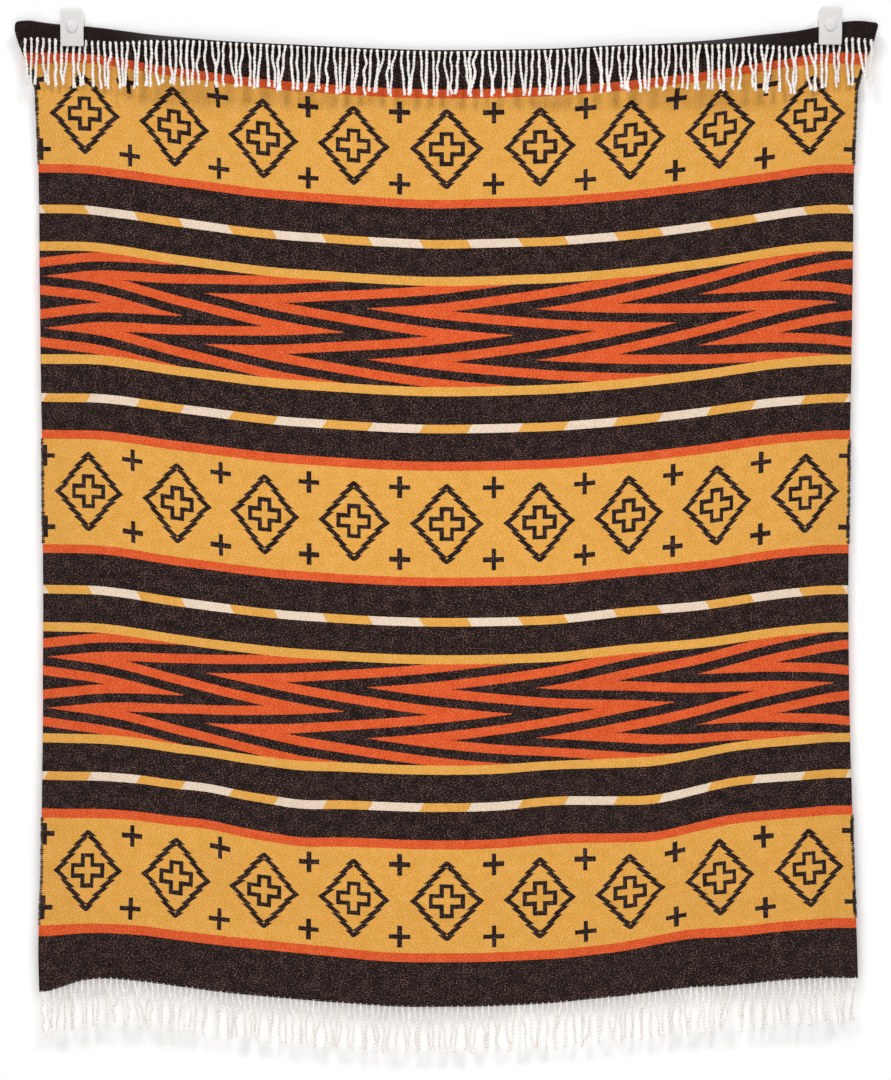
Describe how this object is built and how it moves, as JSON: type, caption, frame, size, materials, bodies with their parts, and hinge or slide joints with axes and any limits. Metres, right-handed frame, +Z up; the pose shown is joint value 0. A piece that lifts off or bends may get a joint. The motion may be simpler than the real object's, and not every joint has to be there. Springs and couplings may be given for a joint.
{
  "type": "fringed wool blanket hung from two wall clips",
  "caption": "Woven wool throw with banded geometric pattern and twisted fringe at both ends, its top end turned forward and held flat against a wall by white plastic clips.",
  "frame": {"origin": "on the wall plane, on the cloth's middle line, level with the fold that the clips close on", "axes": "+X to the viewer's right along the top edge, +Y into the wall, +Z up"},
  "size_m": [1.3652, 0.0446, 1.6527],
  "materials": {
    "wool_cloth": "fulled wool double cloth in black-brown, ochre, red-orange and cream bands",
    "fringe_yarn": "undyed cream twisted wool yarn",
    "clip_plastic": "white moulded plastic, satin"
  },
  "bodies": {
    "root": {"blanket": "wool_cloth", "fringe_top": "fringe_yarn", "fringe_bottom": "fringe_yarn", "clip_left_back": "clip_plastic", "clip_left_hinge": "clip_plastic", "clip_left_front": "clip_plastic", "clip_left_button": "clip_plastic", "clip_right_back": "clip_plastic", "clip_right_hinge": "clip_plastic", "clip_right_front": "clip_plastic", "clip_right_button": "clip_plastic"}
  },
  "joints": []
}
